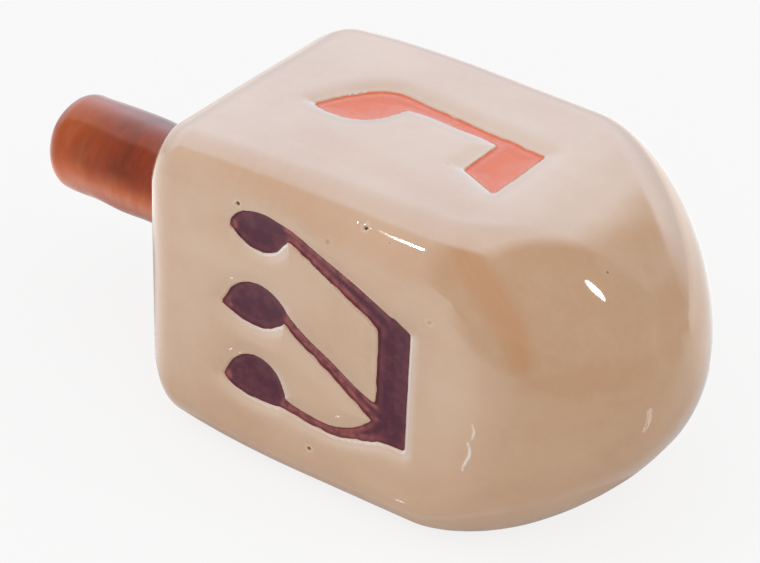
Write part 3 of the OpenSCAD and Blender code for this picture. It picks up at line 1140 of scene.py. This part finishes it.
# The window fills the surround behind and over the object. Shares of a direction of length 1 say where its
# front edge and its right edge fade out, and how far up its dim lower part reaches.
WINDOW_TINT = (0.87, 1, 1.17)
WINDOW_RADIANCE = 3.15
WINDOW_FRONT = (-0.31, -0.14)
WINDOW_RIGHT = (0.1, 0.42)
WINDOW_WIDER = 0.25
WINDOW_WIDER_Z = (0.3, 0.6)
WINDOW_LOW_Z = (0, 0.55)
WINDOW_LOW_SHARE = 0.47
# The rest of the room, dark but for its left side
ROOM_MIRRORED = 0.4
ROOM_LEFT = 1.4
ROOM_LEFT_X = (-0.45, 0.05)


def heading(azimuth, elevation):
    """Direction from the object, with azimuth 0 towards -Y and 90 towards +X."""
    a, e = math.radians(azimuth), math.radians(elevation)
    return Vector((math.sin(a) * math.cos(e), -math.cos(a) * math.cos(e), math.sin(e)))


def make_world():
    world = bpy.data.worlds.new("surround")
    bpy.context.scene.world = world
    world.use_nodes = True
    world.node_tree.nodes.clear()
    n = Nodes(world.node_tree, "Generated")
    glossy, seen = n.rays()
    x, y, z = n.split(n.coords)
    # What lights the matt part of a surface
    lean = n.new("VectorMath")
    lean.operation = "DOT_PRODUCT"
    n.link(n.coords, lean.inputs[0])
    lean.inputs[1].default_value = heading(*RISE_FROM)
    rise = n.times(n.math("MAXIMUM", lean.outputs["Value"], 0), AMBIENT_RISE)
    soft = n.plus(rise, AMBIENT)
    # What a glaze mirrors
    inward = n.minus(x, n.remap(z, *WINDOW_WIDER_Z, WINDOW_WIDER, 0))
    share = n.times(n.remap(y, *WINDOW_FRONT), n.remap(inward, *WINDOW_RIGHT, 1, 0))
    level = n.remap(z, *WINDOW_LOW_Z, WINDOW_LOW_SHARE, 1)
    room = n.plus(n.remap(x, *ROOM_LEFT_X, ROOM_LEFT, 0), ROOM_MIRRORED)
    window = n.times(level, WINDOW_RADIANCE)
    radiance = n.plus(n.times(share, n.minus(window, room)), room)
    colour = n.mix(n.times(glossy, share), (1, 1, 1), WINDOW_TINT)
    # One strength for diffuse rays, one for mirrored rays, and white for rays that see the surround
    unseen = n.minus(1, n.math("MAXIMUM", seen, glossy))
    strength = n.plus(n.times(unseen, soft), seen)
    strength = n.plus(strength, n.times(glossy, radiance))
    background = n.new("Background", Color=colour, Strength=strength)
    output = n.new("OutputWorld")
    n.link(background.outputs[0], output.inputs["Surface"])


make_world()

# Lamps: the place in millimetres that mirrors one to the camera, its azimuth and elevation from there, its
# distance, width and height in metres, its turn clockwise in degrees, and its radiance
LAMPS = {
    "right_lamp": ((58, -14, 55), 108, 34, 1, 0.07, 0.21, 22, 20),
    "left_lamp": ((33, -29, 61), -39, 46, 1, 0.012, 0.065, -30, 170)}


def make_lamp(name, place, azimuth, elevation, distance, width, height, turn, radiance):
    light = bpy.data.lights.new(name, "AREA")
    light.shape = "ELLIPSE"
    light.size = width
    light.size_y = height
    light.energy = radiance * math.pi * width * height
    lamp = add_object(name, light)
    towards = heading(azimuth, elevation)
    lamp.location = Vector(place) * MM + towards * distance
    turned = towards.to_track_quat("Z", "Y") @ Quaternion((0, 0, 1), math.radians(-turn))
    lamp.rotation_euler = turned.to_euler()


for lamp_name, values in LAMPS.items():
    make_lamp(lamp_name, *values)

# Camera, solved from the photograph's outline
CAMERA_AZIMUTH = 34.36
CAMERA_ELEVATION = 33.46
CAMERA_ROLL = 2.12
CAMERA_DISTANCE = 0.48
CAMERA_AIM = Vector((0.00495, 0, 0.028))
FOCAL_PIXELS = 2572.7
PHOTO_WIDTH = 760
SENSOR_WIDTH = 36


def make_camera():
    camera_data = bpy.data.cameras.new("camera")
    camera_data.sensor_width = SENSOR_WIDTH
    camera_data.lens = SENSOR_WIDTH * FOCAL_PIXELS / PHOTO_WIDTH
    camera = add_object("camera", camera_data)
    back = heading(CAMERA_AZIMUTH, CAMERA_ELEVATION)
    a, roll = math.radians(CAMERA_AZIMUTH), math.radians(CAMERA_ROLL)
    right = Vector((math.cos(a), math.sin(a), 0))
    up = back.cross(right)
    turned_right = right * math.cos(roll) + up * math.sin(roll)
    turned_up = up * math.cos(roll) - right * math.sin(roll)
    turn = Matrix((turned_right, turned_up, back)).transposed().to_4x4()
    camera.matrix_world = Matrix.Translation(CAMERA_AIM + back * CAMERA_DISTANCE) @ turn
    bpy.context.scene.camera = camera


make_camera()
bpy.context.scene.view_settings.view_transform = "Standard"

visual_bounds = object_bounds()
plain = [[list(map(float, corner)) for corner in box] for box in (cad_bounds, visual_bounds)]
